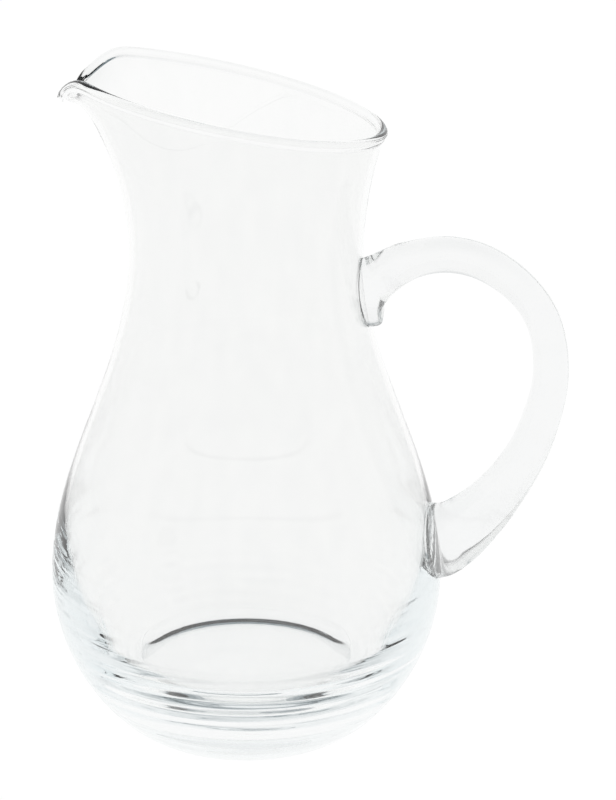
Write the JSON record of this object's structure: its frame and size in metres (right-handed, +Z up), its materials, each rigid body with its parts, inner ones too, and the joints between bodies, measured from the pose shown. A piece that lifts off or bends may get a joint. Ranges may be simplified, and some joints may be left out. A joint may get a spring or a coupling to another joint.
{
  "type": "water jug",
  "caption": "Clear glass water jug with a pear-shaped body, slanted mouth with a drawn pouring lip, and a looped applied glass handle.",
  "frame": {"origin": "centre of the bounding box at the level of the surface that the jug stands on", "axes": "+Z up along the jug's turned axis, +X towards the handle, -X towards the pouring lip, symmetric about the XZ plane"},
  "size_m": [0.1973, 0.151, 0.2594],
  "materials": {
    "body_glass": "clear fire-polished soda-lime glass with a faint grey-green tint where it is thick",
    "handle_glass": "clear fire-polished glass, solid drawn rod with fine streaks along its length"
  },
  "bodies": {
    "root": {"jug_body": "body_glass", "handle": "handle_glass"}
  },
  "joints": []
}
